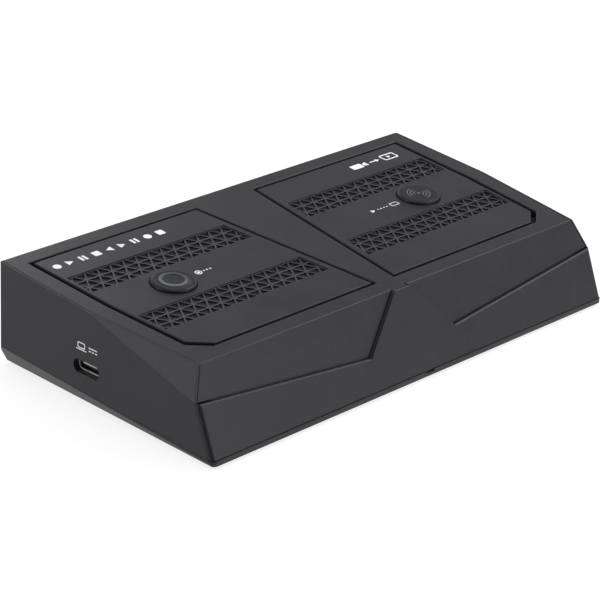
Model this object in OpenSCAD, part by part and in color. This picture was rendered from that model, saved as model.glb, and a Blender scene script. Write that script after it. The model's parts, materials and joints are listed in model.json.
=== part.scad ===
// Video capture box: a low wedge-shaped case with two inset grille panels,
// two push buttons on top, sockets in three sides and two boards inside.
// Millimetres, +Z up, +Y to the back. The origin is the middle of what it stands on.

/* [Case] */
// Width across the two ends
body_w = 145; // [141:0.5:155]
// Depth at the underside
body_d = 78.9; // [77.7:0.1:86]
// Height of the front top edge above the underside
front_h = 22.2; // [21.6:0.1:25]
// Rise of the top face to the back, in degrees
top_tilt = 5; // [4:0.5:6]
// Lean of the front face from upright, in degrees
front_lean = 20.7; // [18:0.1:23]
// Lean of the back wall from upright, in degrees
back_lean = 2; // [1:0.5:3]
// Thickness of the end and back walls
wall = 2.2; // [1.8:0.1:2.6]
// Radius of the upright corners beside the front plate
corner_r = 2.5; // [2.2:0.1:2.8]
// How far that round is moved out past the plate's face
corner_out = 0.7; // [0.5:0.1:0.8]
// Radius of the upright corners at the back
back_corner_r = 1.1; // [0.8:0.1:1.6]
// Radius of the back edge of the top face
back_r = 0.6; // [0.4:0.1:1]

/* [End facets] */
// Distance of the bend in the side edge behind the front top edge
bend_y = 35; // [30:0.5:40]
// How far each side of the top draws in at the front
nose_in = 3.6; // [2:0.1:4.5]
// Height of the front corner where the upper facet ends
crease_h = 14.4; // [13:0.1:16]
// Height of the base rim at the front
rim_front_h = 1.2; // [1:0.1:2]
// Height of the base rim at the back
rim_back_h = 4.9; // [4.5:0.1:6]
// Height of the lower facet at the front corner
heel_front_h = 0.4; // [0.2:0.1:0.8]
// How far the lower facet cuts in under the back corner
heel_in = 2.6; // [1.5:0.1:3]

/* [Cover] */
// Thickness of the top face
cover_t = 3.4; // [3.1:0.1:3.8]
// Thickness of the front face behind its upper fields
front_t = 2; // [1.6:0.1:2.4]
// How far the lower front plate stands proud
front_step = 1; // [0.7:0.1:1.4]
// Half the width of the plate's tab at its foot
tab_foot_x = 15.5; // [12:0.5:20]
// Height of the tab's foot above the underside
tab_foot_h = 9.2; // [8:0.1:11]
// Half the width of the tab at the top edge
tab_top_x = 2.6; // [1.5:0.1:5]
// Distance of the plate's sides from the ends
plate_in = 0.6; // [0.5:0.1:0.9]
// Width of the groove over the plate
groove_w = 0.45; // [0.35:0.05:0.7]
// Depth of that groove below the upper fields
groove_d = 0.6; // [0.5:0.1:0.9]
// Thickness of the edge of the ends that shows round the cover
lip = 0.5; // [0.4:0.1:0.8]
// Width of the seams round the cover
seam = 0.2; // [0.15:0.05:0.3]
// Width of the parting line over the base
parting_gap = 0.1; // [0.08:0.02:0.3]
// Width of the ends' return behind the front plate
return_w = 5; // [4:0.5:7]
// Leg of the bevel on the plate's edges
edge_cut = 0.35; // [0.2:0.05:0.45]
// Leg of the bevel on the tab's sides
tab_cut = 0.1; // [0.05:0.05:0.2]
// Depth of the bevel on the front top edge
nose_cut = 0.06; // [0.03:0.01:0.12]

/* [Panels] */
// Thickness of a panel
panel_t = 2.2; // [2:0.1:2.4]
// Width of the gap round a panel
panel_gap = 0.9; // [0.6:0.1:1.2]
// Gap's distance from the back top edge
panel_back_in = 5.5; // [4.5:0.1:7]
// Gap's distance from the front top edge
panel_front_in = 5.2; // [4.5:0.1:7]
// Gap's distance from the side of the top
panel_side_in = 5.6; // [4.8:0.1:6]
// The same distance at the bend of the side
panel_bend_in = 6.2; // [6:0.1:6.6]
// Play between a panel and its pocket, more than the gap, at the side
side_play = 0.35; // [0:0.05:0.5]
// The same play along the cut front corner
corner_play = 0.6; // [0:0.1:0.8]
// Leg of the bevel on a panel's edge and on its pocket
panel_cut = 0.18; // [0.1:0.01:0.25]
// Half the strip between the panels, at the back
strip_back = 10.8; // [8:0.2:13]
// Half the strip between the panels, at the front
strip_front = 3.6; // [2:0.2:6]
// Length of the cut front corner along the front
corner_cut_x = 4.9; // [3:0.1:6]
// Length of the cut front corner along the side
corner_cut_y = 4.1; // [3:0.1:6]

/* [Grille bands] */
// Width of a band
band_w = 9.5; // [8:0.1:11]
// Distance between the middles of the two bands
band_pitch = 25; // [24.5:0.1:28]
// Margin between a band's outer end and the panel's side
band_out = 1; // [0.8:0.1:2]
// Margin between a band's inner end and the strip between the panels
band_in = 1.8; // [1.2:0.1:3]
// Length of a triangle's base
cell_w = 4.2; // [3.6:0.1:5]
// Height of a triangle
cell_h = 3.5; // [3:0.1:4]
// Width of the ribs between the triangles
rib_w = 0.45; // [0.35:0.05:0.8]
// Depth of the ribs' tops below the panel's face
rib_drop = 0.4; // [0.3:0.1:0.7]
// Depth of the triangles below the ribs' tops
cell_d = 0.45; // [0.3:0.05:1.1]

/* [Buttons] */
// Distance of each button from the middle
button_x = 45; // [42:0.5:48]
// Distance of the buttons behind the front top edge
button_y = 34.6; // [33.5:0.1:35.5]
// Radius of a cap
cap_r = 5.9; // [5:0.05:6.2]
// Height of a cap above the panel
cap_stand = 0.9; // [0.7:0.1:1.2]
// Radius of a cap's top edge
cap_edge_r = 0.8; // [0.4:0.1:0.8]
// Gap round a cap
cap_gap = 0.2; // [0.15:0.05:0.4]
// Thickness of a cap's face and sides
cap_t = 1.2; // [1:0.1:1.4]
// Radius of the flange that holds a cap in
flange_r = 7.2; // [6.9:0.1:7.6]
// Thickness of that flange
flange_t = 1; // [0.8:0.1:1.4]
// Gap between the flange and the cover
flange_gap = 0.15; // [0.1:0.05:0.3]
// Outer radius of the light ring
ring_out_r = 3.8; // [3.4:0.05:4.2]
// Inner radius of the light ring
ring_in_r = 2.8; // [2.2:0.05:3]
// Depth of the light ring's foot below the cap's face
ring_t = 1.6; // [1.3:0.1:2]
// Height of the light ring's face above the cap's face
ring_stand = 0.1; // [0:0.05:0.2]
// Travel of a button
travel = 0.4; // [0.2:0.05:0.6]
// Clearance between fixed pieces of a button
button_fit = 0.05; // [0.03:0.01:0.1]

/* [Switches and button board] */
// Width of a switch
switch_w = 6; // [5:0.1:6.4]
// Height of a switch's case
switch_h = 3.5; // [3:0.1:4]
// Radius of a switch's plunger
plunger_r = 1.7; // [1.4:0.05:2]
// Height of the plunger above the switch's case
plunger_stand = 1.5; // [1.2:0.1:2]
// Length of plunger inside the switch's case
plunger_in = 2; // [1.5:0.1:2.2]
// Gap round the plunger
plunger_gap = 0.1; // [0.08:0.01:0.2]
// Length of the button board
button_board_w = 106; // [100:1:112]
// Depth of the button board
button_board_d = 13; // [12:0.5:15]
// Thickness of the button board
button_board_t = 1.2; // [1:0.1:1.6]
// Distance of the button board's posts from the middle
button_post_x = 22; // [16:0.5:30]
// Radius of the button board's posts
button_post_r = 2.4; // [2:0.1:3]
// Width of a lamp under the light ring
lamp_w = 1.6; // [1.2:0.1:2]
// Height of a lamp under the light ring
lamp_h = 0.7; // [0.5:0.1:1]
// Gap between a lamp and the switch
lamp_gap = 0.2; // [0.1:0.05:0.4]

/* [Main board] */
// Height of the main board's top above the underside
board_h = 8.3; // [7.8:0.1:8.6]
// Thickness of the main board
board_t = 1.6; // [1.2:0.1:2]
// Gap between the main board and the walls
board_gap = 0.7; // [0.4:0.1:1]
// Width of the capture chip
chip_w = 17; // [14:0.5:20]
// Height of the capture chip
chip_h = 1.6; // [1.2:0.1:2]
// Thickness of the thermal pad
pad_t = 0.5; // [0.3:0.1:0.8]
// Width of the heat sink
sink_w = 24; // [22:0.5:26]
// Thickness of the heat sink's base
sink_base_t = 1.8; // [1.2:0.1:2]
// Height of the heat sink's fins
sink_fin_h = 4.2; // [3:0.1:4.4]
// Number of the heat sink's fins
sink_fins = 9; // [6:1:10]

/* [Base, screws and feet] */
// Thickness of the base's floor
floor_t = 2; // [1.6:0.1:2.4]
// Distance of the case screws from the middle, along X
post_x = 60; // [58:0.5:61]
// Distance of the case screws from the middle, along Y
post_y = 22; // [20:0.5:23]
// Radius of the cover's posts
post_r = 3; // [2.6:0.1:3.4]
// Radius of a case screw
screw_r = 1.45; // [1.2:0.05:1.6]
// Radius of a case screw's head
head_r = 2.7; // [2.4:0.1:2.9]
// Height of a case screw's head
head_h = 1.9; // [1.5:0.1:2.2]
// Depth of the screws' seats above the underside
seat_h = 3; // [2.6:0.1:3.4]
// Length of a case screw under its head
screw_len = 13; // [11:0.5:13.5]
// Radius of a small board screw
small_screw_r = 0.8; // [0.7:0.05:1]
// Clearance round a screw
screw_gap = 0.1; // [0.05:0.05:0.2]
// Radius of the base's front corners
base_r = 1.6; // [1.2:0.1:2.4]
// How far the base's rim stands out under the front plate
rim_out = 0.3; // [0.1:0.1:0.4]
// Place of the notch in the front rim for a prying tool, along X
notch_x = 2.9; // [-20:0.1:20]
// Width of that notch
notch_w = 2.8; // [2:0.1:5]
// Depth of that notch into the rim
notch_h = 0.4; // [0.2:0.1:0.6]
// Radius of a foot
foot_r = 4.5; // [4:0.1:5]
// Height of the feet below the underside
foot_stand = 0.8; // [0.5:0.1:1.2]
// Depth of the feet's seats
foot_seat = 0.8; // [0.5:0.1:1]
// Distance of the feet's middles from the ends
foot_end_in = 13; // [11:0.5:15]
// Distance of the feet's middles from the front and back
foot_in = 8; // [7.5:0.1:8.5]

/* [Sockets] */
// Gap between a socket and its cut-out
port_gap = 0.2; // [0.15:0.05:0.4]
// Depth of the sockets' mouths behind the outer face
port_in = 1.6; // [0.6:0.1:1.8]
// Thickness of the sockets' metal
metal_t = 0.3; // [0.25:0.05:0.4]
// Place of the left end's socket along Y
usb_c_y = 5.5; // [-2:0.5:10]
// Place of the right end's host socket along Y
host_y = 6; // [4:0.5:10]
// Place of the right end's card slot along Y
card_y = -9; // [-11:0.5:-8]
// Distance of the two video sockets from the middle
video_x = 14; // [10:0.5:20]
// Place of the first sound jack along X
jack_x = 36; // [34:0.5:38]
// Distance between the two sound jacks
jack_pitch = 11; // [9:0.5:13]

/* [Hidden] */

$fn = 64;

// Length past which every cutting block reaches
reach = 400;

// Sizes set by the plugs that go in the sockets
usb_c_size = [8.94, 3.16, 7.4];
usb_c_r = 1.2;
usb_c_tongue = [6.7, 0.7];
video_size = [14.9, 5.5, 11];
video_cut = 1.7;
video_tongue = [11.4, 1.2];
host_size = [13.1, 5.7, 14];
host_tongue = [11.1, 1.8];
jack_size = [6.4, 5, 12];
jack_nose_r = 2.6;
jack_bore_r = 1.8;
card_size = [14, 1.9, 15];
card_slit = [11.4, 1.1];
tongue_in = 0.4;

// Sizes of the small pieces on the boards
chip_at = [-12, -16];
memory_size = [9, 13, 1.1];
memory_at = [[8, -16], [20, -16]];
coil_size = [7, 7, 3.2];
coil_at = [[33, -22], [43, -22]];
capacitor_r = 2.6;
capacitor_h = 5.4;
capacitor_at = [[33, -11], [40, -11], [47, -11]];
cable_size = [8, 0.3];
cable_socket_size = [11, 3.4, 2.2];
cable_depth = 1.4;
cable_gap = 0.25;
small_head = [1.9, 1.2];
cross_slot = [3.2, 0.7, 1];
boss_wall = 2;
fin_t = 0.9;

// Levels and the outline of the case in its side view
half_w = body_w / 2;
front_y = -body_d / 2;
back_y = body_d / 2;
base_z = foot_stand;
rim_z = base_z + rim_front_h;
floor_z = base_z + floor_t;
board_z = base_z + board_h;
board_low_z = board_z - board_t;
part_tilt = atan((rim_back_h - rim_front_h) / body_d);

// Place of the front face at a height, and of a layer that lies deeper in
function front_at(z, depth = 0) = front_y + rim_out + (z - rim_z) * tan(front_lean) + depth / cos(front_lean);
function back_at(z, depth = 0) = back_y - (z - base_z) * tan(back_lean) - depth / cos(back_lean);
function along_front(h) = (h - rim_front_h) / cos(front_lean);

// The top face has its own frame: Y runs back along it and Z stands out of it
top_edge = [0, front_at(base_z + front_h, front_step), base_z + front_h];
top_len = (back_at(top_edge.z) - top_edge.y) / (cos(top_tilt) + sin(top_tilt) * tan(back_lean));
function top_point(x, y, z = 0) =
  top_edge + [x, y * cos(top_tilt) - z * sin(top_tilt), y * sin(top_tilt) + z * cos(top_tilt)];

// A face is a point and its outward normal
function unit(v) = v / norm(v);
function to_right(v) = v.x < 0 ? -v : v;
function end_face(a, b, c) = [a, to_right(unit(cross(b - a, c - a)))];
top_face = [top_edge, [0, -sin(top_tilt), cos(top_tilt)]];
front_face = [[0, front_at(rim_z), rim_z], [0, -cos(front_lean), sin(front_lean)]];
back_face = [[0, back_y, base_z], [0, cos(back_lean), sin(back_lean)]];
parting_face = [[0, front_y, rim_z], [0, -sin(part_tilt), cos(part_tilt)]];
crease_point = [half_w, front_at(base_z + crease_h, front_step), base_z + crease_h];
upper_facet = end_face(top_point(half_w, bend_y), top_point(half_w - nose_in, 0), crease_point);
lower_facet = end_face(
  [half_w, front_y, base_z + heel_front_h],
  [half_w, back_y, base_z + rim_back_h],
  [half_w - heel_in, back_y, base_z]
);
right_faces = [[[half_w, 0, 0], [1, 0, 0]], upper_facet, lower_facet];

// Bevels of the front top edge, on the fields and on the proud tab
nose_normal = unit(top_face[1] + front_face[1]);
field_nose = [top_edge, nose_normal];
tab_nose = [top_point(0, -front_step / cos(front_lean + top_tilt)), nose_normal];

// Outlines moved in or out by a distance, for points in counterclockwise order
function edge_out(a, b) = [b.y - a.y, a.x - b.x] / norm(b - a);
function moved_corner(a, p, b, d) =
  let (m = edge_out(a, p), n = edge_out(p, b)) p + d * (m + n) / (1 + m * n);
function grown(pts, d) =
  let (n = len(pts)) [for (i = [0:n - 1]) moved_corner(pts[(i + n - 1) % n], pts[i], pts[(i + 1) % n], d)];

// Front plate: its upper line falls from the corners to the foot of the tab
foot_v = along_front(tab_foot_h);
crease_v = along_front(crease_h);
top_v = along_front(front_h);
plate_x = half_w - plate_in;
return_x = half_w - return_w;
function step_v(x) = foot_v + (x - tab_foot_x) * (crease_v - foot_v) / (half_w - tab_foot_x);
function tab_x(v) = tab_foot_x + (v - foot_v) * (tab_top_x - tab_foot_x) / (top_v - foot_v);
tab_end_v = top_v + tab_top_x / 2;
tab_outline = [
  [-tab_x(0), 0], [tab_x(0), 0], [tab_x(tab_end_v), tab_end_v], [-tab_x(tab_end_v), tab_end_v]
];
function wing_outline(x, low, lift) =
  [[-tab_top_x, low], [x, low], [x, step_v(x) + lift], [-tab_top_x, step_v(-tab_top_x) + lift]];
function flipped(pts) = [for (i = [len(pts) - 1:-1:0]) [-pts[i].x, pts[i].y]];
function field_outline(x, lift) = let (
  right = [[x, 0], [x, step_v(x) + lift], [body_w, step_v(body_w) + lift], [body_w, reach / 2]]
) concat(right, flipped(right));

// Right panel, in the top face's frame
function side_x(y) = half_w - nose_in * max(0, 1 - y / bend_y);
panel_back_y = top_len - panel_back_in;
cut_y = panel_front_in + corner_cut_y;
cut_x = side_x(cut_y) - panel_side_in;
function panel_points(side, corner) = [
  [strip_front, panel_front_in],
  [cut_x - corner_cut_x - side - corner, panel_front_in],
  [cut_x - side, cut_y + corner],
  [half_w - panel_bend_in - side, bend_y],
  [half_w - panel_side_in - side, panel_back_y],
  [strip_back, panel_back_y]
];
panel_outline = grown(panel_points(side_play, corner_play), -panel_gap / 2);
pocket_outline = grown(panel_points(0, 0), panel_gap / 2);

// Levels of the buttons and their board, in the top face's frame
ring_z = cap_stand - ring_t;
flange_z = -cover_t - flange_gap;
cap_low_z = flange_z - flange_t;
switch_top_z = cap_low_z - plunger_stand;
button_board_z = switch_top_z - switch_h;
button_board_low_z = button_board_z - button_board_t;
guide_r = ring_out_r + cap_t;

// Outline of the main board, which stays clear of the walls
board_x = half_w - wall - board_gap;
board_front_y = front_at(board_low_z, front_step + front_t) + board_gap;
board_back_y = back_at(board_z, wall) - board_gap;
seat_z = base_z + seat_h;
post_points = [for (x = [-post_x, post_x], y = [-post_y, post_y]) [x, y]];
cable_top = top_point(0, button_y, button_board_low_z);
boss_r = head_r + screw_gap + boss_wall;

shell_color = [0.16, 0.16, 0.165];
cover_color = [0.18, 0.18, 0.185];
panel_color = [0.17, 0.17, 0.175];
cap_color = [0.15, 0.15, 0.155];
metal_color = [0.75, 0.75, 0.76];
board_color = [0.05, 0.28, 0.14];
chip_color = [0.08, 0.08, 0.09];

// Frames of the top, front and back faces
module on_top() translate(top_edge) rotate([top_tilt, 0, 0]) children();
module on_front() translate(front_face[0]) rotate([90 - front_lean, 0, 0]) children();
module on_back() translate(back_face[0]) rotate([90 - back_lean, 0, 180]) children();
module both_sides() for (side = [0, 1]) mirror([side, 0, 0]) children();

// Block of everything beyond a face, moved in by a distance
module beyond(face, inset = 0) {
  out = face[1];
  translate(face[0] - inset * out) rotate([0, acos(out.z), atan2(out.y, out.x)])
    translate([-reach, -reach, 0]) cube([2 * reach, 2 * reach, reach]);
}

// The case as one wedge, with each group of faces moved in by its own distance
module wedge(end_in = 0, front_in = 0, back_in = 0, top_in = 0) {
  difference() {
    translate([-half_w, front_y, base_z]) cube([body_w, body_d, reach]);
    beyond(top_face, top_in);
    beyond(front_face, front_in);
    beyond(back_face, back_in);
    both_sides() for (face = right_faces) beyond(face, end_in);
  }
}

module below_parting(gap) {
  translate([0, 0, gap]) beyond([parting_face[0], -parting_face[1]]);
}

// Material outside a round upright corner, drawn in the frame of the face
module upright_rounds(r, depth, length) {
  both_sides() rotate([-90, 0, 0]) translate([half_w - r, depth, -length]) linear_extrude(2 * length)
    difference() {
      translate([0, -r]) square(2 * r);
      translate([0, r]) circle(r);
    }
}

// Material outside the bevels on some edges of an outline whose face lies at zero
module edge_bevels(outline, edges, cut) {
  for (i = edges) {
    a = outline[i];
    out = edge_out(a, outline[(i + 1) % len(outline)]);
    beyond([[a.x, a.y, 0], unit([out.x, out.y, 1])], cut / sqrt(2));
  }
}

// Room that opens towards the face over some edges of an outline, inside a wider one
module edge_flares(outline, wide, edges, cut) {
  start = 5 / 4 * cut;
  difference() {
    translate([0, 0, -start]) linear_extrude(start + cut) polygon(wide);
    for (i = edges) {
      a = outline[i];
      out = edge_out(a, outline[(i + 1) % len(outline)]);
      beyond([[a.x, a.y, -cut], unit([out.x, out.y, -1])]);
    }
  }
}

// Material outside the round back edge of the top
module back_edge_round() {
  turn = back_lean - top_tilt;
  reach_in = back_r / tan((90 + turn) / 2);
  low = [top_len + reach_in * sin(turn), -reach_in * cos(turn)];
  on_top() rotate([90, 0, 90]) translate([0, 0, -body_w]) linear_extrude(2 * body_w) difference() {
    polygon([
      [top_len - reach_in, -back_r], low, low + [back_r, 0],
      [top_len + back_r, back_r], [top_len - reach_in, back_r]
    ]);
    translate([top_len - reach_in, -back_r]) circle(back_r);
  }
}

// Front layer of the cover, cut to an outline between two depths
module front_layer(outline, low, high) {
  on_front() translate([0, 0, -high]) linear_extrude(high - low) polygon(outline);
}

module top_layer(low, high) {
  on_top() translate([-reach / 2, -reach / 2, -high]) cube([reach, reach, high - low]);
}

// Room that the cover takes out of the ends and the back
module cover_room() {
  intersection() {
    wedge(end_in = lip, front_in = -front_t, back_in = -wall, top_in = -cover_t);
    union() {
      top_layer(-cover_t, cover_t);
      front_layer(field_outline(return_x, groove_w / 2 - seam), -front_t, front_step + front_t);
    }
  }
  plate_room(plate_x + seam);
}

// Room that the front plate and the groove over it take out of what lies behind
module plate_room(half_width) {
  on_front() translate([0, 0, -front_step - groove_d]) linear_extrude(groove_d + front_step + front_t) {
    both_sides() polygon(wing_outline(half_width, -front_h, groove_w));
    polygon(grown(tab_outline, groove_w));
  }
}

module top_cover() {
  color(cover_color) difference() {
    union() {
      difference() {
        intersection() {
          wedge(end_in = lip + seam, front_in = front_step);
          union() {
            top_layer(-cover_t, cover_t);
            front_layer(field_outline(return_x - seam, groove_w / 2), front_step, front_step + front_t);
          }
        }
        plate_room(half_w);
        beyond(field_nose, nose_cut);
      }
      front_plate();
      plate_root();
      cover_posts();
    }
    on_top() both_sides() {
      translate([0, 0, -panel_t]) linear_extrude(2 * panel_t) polygon(pocket_outline);
      edge_flares(pocket_outline, grown(pocket_outline, 2 * panel_cut), [0:5], panel_cut);
    }
    on_top() both_sides() translate([button_x, button_y, -reach / 2])
      cylinder(r = cap_r + cap_gap, h = reach);
    screw_holes();
    back_edge_round();
    on_back() upright_rounds(back_corner_r, 0, reach / 4);
    below_parting(parting_gap);
  }
}

// Lower plate and its tab, from the proud face down to the groove's floor
module front_plate() {
  depth = front_step + groove_d;
  difference() {
    intersection() {
      wedge();
      on_front() {
        both_sides() plate_piece(wing_outline(plate_x, 0, 0), depth, [1, 2], edge_cut);
        plate_piece(tab_outline, depth, [1, 3], tab_cut);
      }
    }
    beyond(tab_nose, nose_cut);
  }
}

// Root that joins the plate to the wall behind it
module plate_root() {
  depth = front_step + (groove_d + front_t) / 2;
  intersection() {
    wedge(top_in = cover_t / 4);
    union() {
      both_sides() front_layer(wing_outline(return_x - seam, 0, -edge_cut), front_step, depth);
      front_layer(grown(tab_outline, -edge_cut), front_step, depth);
    }
  }
}

module plate_piece(outline, depth, edges, cut) {
  difference() {
    translate([0, 0, -depth]) linear_extrude(depth) polygon(outline);
    edge_bevels(outline, edges, cut);
  }
}

// Posts under the cover for the case screws and for the button board
module cover_posts() {
  intersection() {
    wedge(top_in = cover_t / 2);
    for (p = post_points) translate([p.x, p.y, board_z]) cylinder(r = post_r, h = reach);
  }
  on_top() both_sides() translate([button_post_x, button_y, button_board_z])
    cylinder(r = button_post_r, h = -button_board_z - cover_t + cover_t / 4);
}

module screw_holes() {
  for (p = post_points) translate([p.x, p.y, floor_z])
    cylinder(r = screw_r + screw_gap, h = seat_z + screw_len + screw_gap - floor_z);
  on_top() both_sides() translate([button_post_x, button_y, button_board_low_z])
    cylinder(r = small_screw_r + screw_gap, h = -cover_t - button_board_low_z);
}

module housing() {
  color(shell_color) difference() {
    wedge();
    wedge(end_in = wall, front_in = front_step + front_t, back_in = wall, top_in = -reach / 4);
    front_layer(field_outline(return_x, groove_w / 2), -front_t, front_step);
    cover_room();
    beyond(field_nose, nose_cut);
    below_parting(parting_gap);
    back_edge_round();
    on_front() upright_rounds(corner_r, -corner_out, crease_v + groove_w);
    on_back() upright_rounds(back_corner_r, 0, reach / 4);
    port_cuts();
  }
}

module base_plate() {
  color(shell_color) difference() {
    union() {
      difference() {
        wedge(front_in = -2 * rim_out);
        beyond(parting_face);
        translate([0, 0, floor_t]) wedge(end_in = wall, front_in = front_t, back_in = wall);
        base_rounds();
        on_back() upright_rounds(back_corner_r, 0, reach / 4);
      }
      for (p = post_points) translate([p.x, p.y, base_z]) cylinder(r = boss_r, h = board_low_z - base_z);
    }
    for (p = post_points) translate([p.x, p.y, 0]) {
      cylinder(r = head_r + screw_gap, h = seat_z);
      cylinder(r = screw_r + screw_gap, h = board_z);
    }
    foot_places() cylinder(r = foot_r, h = foot_seat);
    translate([notch_x - notch_w / 2, front_y - notch_h, rim_z - notch_h])
      cube([notch_w, 3 * notch_h, 2 * notch_h]);
  }
}

// Material outside the base's round front corners
module base_rounds() {
  both_sides() translate([half_w - base_r, front_y + base_r, 0]) linear_extrude(board_z) difference() {
    translate([0, -2 * base_r]) square(2 * base_r);
    circle(base_r);
  }
}

module foot_places() {
  for (x = [-half_w + foot_end_in, half_w - foot_end_in], y = [front_y + foot_in, back_y - foot_in])
    translate([x, y, base_z]) children();
}

module feet() {
  color([0.08, 0.08, 0.08]) foot_places() translate([0, 0, -foot_stand])
    cylinder(r = foot_r, h = foot_stand + foot_seat);
}

module case_screws() {
  color(metal_color) for (p = post_points) translate([p.x, p.y, seat_z]) {
    cylinder(r = screw_r, h = screw_len);
    translate([0, 0, -head_h]) difference() {
      cylinder(r = head_r, h = head_h);
      for (turn = [0, 90]) rotate(turn) cube([cross_slot.x, cross_slot.y, 2 * cross_slot.z], center = true);
    }
  }
}

// Panels
module band_shape(y, inset) {
  margin = band_out + inset;
  intersection() {
    polygon(grown(panel_outline, -margin));
    translate([band_in - band_out, 0]) polygon(grown(panel_outline, -margin));
    translate([0, y - band_w / 2 + inset]) square([body_w, band_w - 2 * inset]);
  }
}

// Upright and hanging triangles of three rows, without the ribs between them
module band_cells(y) {
  columns = ceil(half_w / cell_w);
  for (row = [-1:1], i = [-1:columns]) {
    low = y + (row - 0.5) * cell_h;
    x = (i + (row % 2 == 0 ? 0 : 0.5)) * cell_w;
    polygon(grown([[x, low], [x + cell_w, low], [x + cell_w / 2, low + cell_h]], -rib_w / 2));
    polygon(grown(
      [[x + cell_w, low], [x + cell_w * 3 / 2, low + cell_h], [x + cell_w / 2, low + cell_h]], -rib_w / 2
    ));
  }
}

module panel() {
  cell_low = rib_drop + cell_d;
  color(panel_color) on_top() difference() {
    translate([0, 0, -panel_t]) linear_extrude(panel_t) polygon(panel_outline);
    edge_bevels(panel_outline, [0:5], panel_cut);
    translate([button_x, button_y, -reach / 2]) cylinder(r = cap_r + cap_gap, h = reach);
    for (y = [button_y - band_pitch / 2, button_y + band_pitch / 2]) {
      translate([0, 0, -rib_drop]) linear_extrude(panel_t) band_shape(y, 0);
      translate([0, 0, -cell_low]) linear_extrude(panel_t) intersection() {
        band_shape(y, rib_w / 4);
        band_cells(y);
      }
    }
  }
}

module right_panel() panel();
module left_panel() mirror([1, 0, 0]) panel();

// Buttons, drawn about their own axis in the top face's frame
module at_button(side) on_top() translate([side * button_x, button_y, 0]) children();

module cap_section() {
  translate([0, cap_low_z]) square([cap_r, cap_stand - cap_edge_r - cap_low_z]);
  translate([0, cap_low_z]) square([cap_r - cap_edge_r, cap_stand - cap_low_z]);
  translate([0, cap_low_z]) square([flange_r, flange_t]);
  translate([cap_r - cap_edge_r, cap_stand - cap_edge_r]) intersection() {
    circle(cap_edge_r);
    square(cap_edge_r);
  }
}

module rec_cap() {
  color(cap_color) at_button(-1) rotate_extrude() difference() {
    cap_section();
    translate([0, cap_low_z]) square([ring_out_r + button_fit, cap_stand - cap_low_z]);
    translate([0, cap_low_z]) square([guide_r + button_fit, ring_z - cap_low_z]);
  }
}

module rec_cap_center() {
  color(cap_color) at_button(-1) translate([0, 0, ring_z]) cylinder(r = ring_in_r - button_fit, h = ring_t);
}

module rec_light_guide() {
  color([0.75, 0.76, 0.78]) at_button(-1) rotate_extrude() {
    translate([0, cap_low_z]) square([guide_r, ring_z - cap_low_z]);
    translate([ring_in_r, cap_low_z]) square([ring_out_r - ring_in_r, cap_stand + ring_stand - cap_low_z]);
  }
}

module stream_cap() {
  color(cap_color) at_button(1) rotate_extrude() difference() {
    cap_section();
    translate([plunger_r, cap_low_z]) square([cap_r - cap_t - plunger_r, cap_stand - cap_t - cap_low_z]);
  }
}

module plunger(side) {
  color([0.55, 0.2, 0.12]) at_button(side) translate([0, 0, switch_top_z - plunger_in])
    cylinder(r = plunger_r, h = plunger_in + plunger_stand);
}

module rec_plunger() plunger(-1);
module stream_plunger() plunger(1);

module switch(side) {
  well = plunger_in + travel + plunger_gap;
  color([0.2, 0.2, 0.2]) at_button(side) translate([0, 0, button_board_z]) difference() {
    translate([-switch_w / 2, -switch_w / 2, 0]) cube([switch_w, switch_w, switch_h]);
    translate([0, 0, switch_h - well]) cylinder(r = plunger_r + plunger_gap, h = switch_h);
  }
}

module rec_switch() switch(-1);
module stream_switch() switch(1);

module ring_leds() {
  place = (switch_w + lamp_w) / 2 + lamp_gap;
  color([0.9, 0.88, 0.75]) at_button(-1) for (x = [-place, place], y = [-place, place])
    translate([x - lamp_w / 2, y - lamp_w / 2, button_board_z]) cube([lamp_w, lamp_w, lamp_h]);
}

module button_board() {
  color(board_color) on_top() difference() {
    translate([-button_board_w / 2, button_y - button_board_d / 2, button_board_low_z])
      cube([button_board_w, button_board_d, button_board_t]);
    both_sides() translate([button_post_x, button_y, button_board_low_z])
      cylinder(r = small_screw_r + screw_gap, h = button_board_t);
  }
}

module button_board_screws() {
  length = button_board_t + (-cover_t - button_board_z) / 2;
  color(metal_color) on_top() both_sides() translate([button_post_x, button_y, button_board_low_z]) {
    cylinder(r = small_screw_r, h = length);
    translate([0, 0, -small_head.y]) cylinder(r = small_head.x, h = small_head.y);
  }
}

// Lead between the two boards, in a socket on each
module cable_strip(gap) {
  low = board_z + cable_socket_size.z - cable_depth;
  high = cable_top.z - cable_socket_size.z + cable_depth;
  translate([-cable_size.x / 2 - gap, cable_top.y - cable_size.y / 2 - gap, low - gap])
    cube([cable_size.x + 2 * gap, cable_size.y + 2 * gap, high - low + 2 * gap]);
}

module flat_cable() color([0.85, 0.85, 0.82]) cable_strip(0);

module cable_sockets() {
  size = cable_socket_size;
  color([0.8, 0.78, 0.7]) difference() {
    union() {
      translate([-size.x / 2, cable_top.y - size.y / 2, board_z]) cube(size);
      on_top() translate([-size.x / 2, button_y - size.y / 2, button_board_low_z - size.z]) cube(size);
    }
    cable_strip(cable_gap);
  }
}

// Main board and what it carries
module main_board() {
  color(board_color) difference() {
    translate([-board_x, board_front_y, board_low_z])
      cube([2 * board_x, board_back_y - board_front_y, board_t]);
    for (p = post_points) translate([p.x, p.y, board_low_z]) cylinder(r = screw_r + screw_gap, h = board_t);
  }
}

module on_board(at, size, z = board_z) {
  translate([at.x - size.x / 2, at.y - size.y / 2, z]) cube(size);
}

module capture_chip() color(chip_color) on_board(chip_at, [chip_w, chip_w, chip_h]);

module thermal_pad() color([0.6, 0.65, 0.72]) on_board(chip_at, [chip_w, chip_w, pad_t], board_z + chip_h);

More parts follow.
